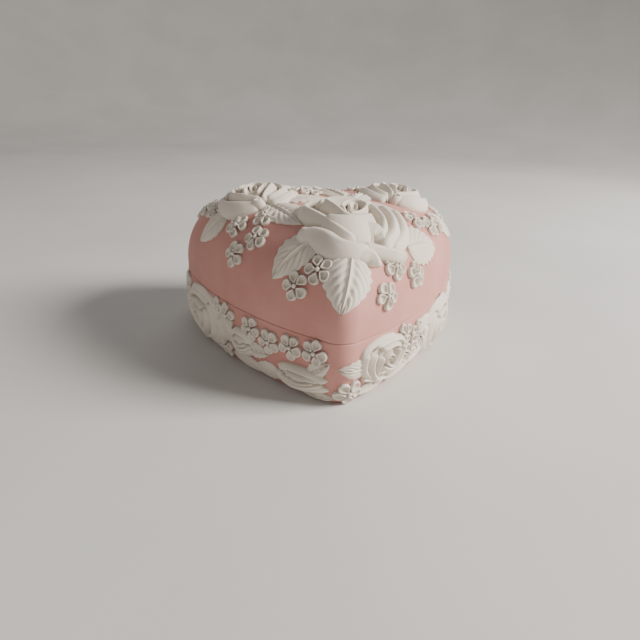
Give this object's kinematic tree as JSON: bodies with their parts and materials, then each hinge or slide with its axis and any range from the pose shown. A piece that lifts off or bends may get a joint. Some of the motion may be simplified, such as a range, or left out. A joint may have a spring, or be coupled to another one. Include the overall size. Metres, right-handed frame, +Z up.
{
  "type": "heart-shaped trinket box",
  "caption": "Heart-shaped trinket box with a domed lift-off lid, covered in raised roses, leaves and five-petalled blossoms.",
  "frame": {"origin": "centre of the flat underside, on the surface the box stands on", "axes": "+X across the two lobes, -Y towards the heart's point, +Z up through the lid"},
  "size_m": [0.1185, 0.1102, 0.062],
  "materials": {
    "pink_bisque": "matte",
    "white_bisque": "matte"
  },
  "bodies": {
    "base": {"base_shell": "pink_bisque", "base_blossoms_left_1": "white_bisque", "base_blossoms_left_2": "white_bisque", "base_blossoms_left_3": "white_bisque", "base_blossoms_left_4": "white_bisque", "base_blossoms_left_5": "white_bisque", "base_blossoms_right_1": "white_bisque", "base_blossoms_right_2": "white_bisque", "base_blossoms_right_3": "white_bisque", "base_blossoms_right_4": "white_bisque", "base_blossoms_right_5": "white_bisque", "base_leaves_left_1": "white_bisque", "base_leaves_left_2": "white_bisque", "base_leaves_left_3": "white_bisque", "base_leaves_left_4": "white_bisque", "base_leaves_left_5": "white_bisque", "base_leaves_right_1": "white_bisque", "base_leaves_right_2": "white_bisque", "base_leaves_right_3": "white_bisque", "base_leaves_right_4": "white_bisque", "base_leaves_right_5": "white_bisque", "base_rose_left_1": "white_bisque", "base_rose_left_2": "white_bisque", "base_rose_left_3": "white_bisque", "base_rose_left_4": "white_bisque", "base_rose_left_5": "white_bisque", "base_rose_right_1": "white_bisque", "base_rose_right_2": "white_bisque", "base_rose_right_3": "white_bisque", "base_rose_right_4": "white_bisque", "base_rose_right_5": "white_bisque"},
    "lid": {"lid_shell": "pink_bisque", "lid_back_left_spray": "white_bisque", "lid_back_right_spray": "white_bisque", "lid_front_left_spray": "white_bisque", "lid_front_right_spray": "white_bisque", "lid_leaf_back_left": "white_bisque", "lid_leaf_back_right": "white_bisque", "lid_leaf_centre_left": "white_bisque", "lid_leaf_centre_right": "white_bisque", "lid_leaf_far_left": "white_bisque", "lid_leaf_far_right": "white_bisque", "lid_leaf_front_left": "white_bisque", "lid_leaf_front_right": "white_bisque", "lid_leaf_left_lobe": "white_bisque", "lid_leaf_middle_high": "white_bisque", "lid_leaf_middle_low": "white_bisque", "lid_leaf_tip": "white_bisque", "lid_left_edge_spray": "white_bisque", "lid_left_spray": "white_bisque", "lid_middle_spray": "white_bisque", "lid_right_spray": "white_bisque", "lid_rose_front": "white_bisque", "lid_rose_left": "white_bisque", "lid_rose_right": "white_bisque"}
  },
  "joints": [
    {"name": "lid_lift", "type": "slide", "parent": "base", "child": "lid", "axis": [0, 0, 1], "range_m": [0, 0.08]}
  ]
}
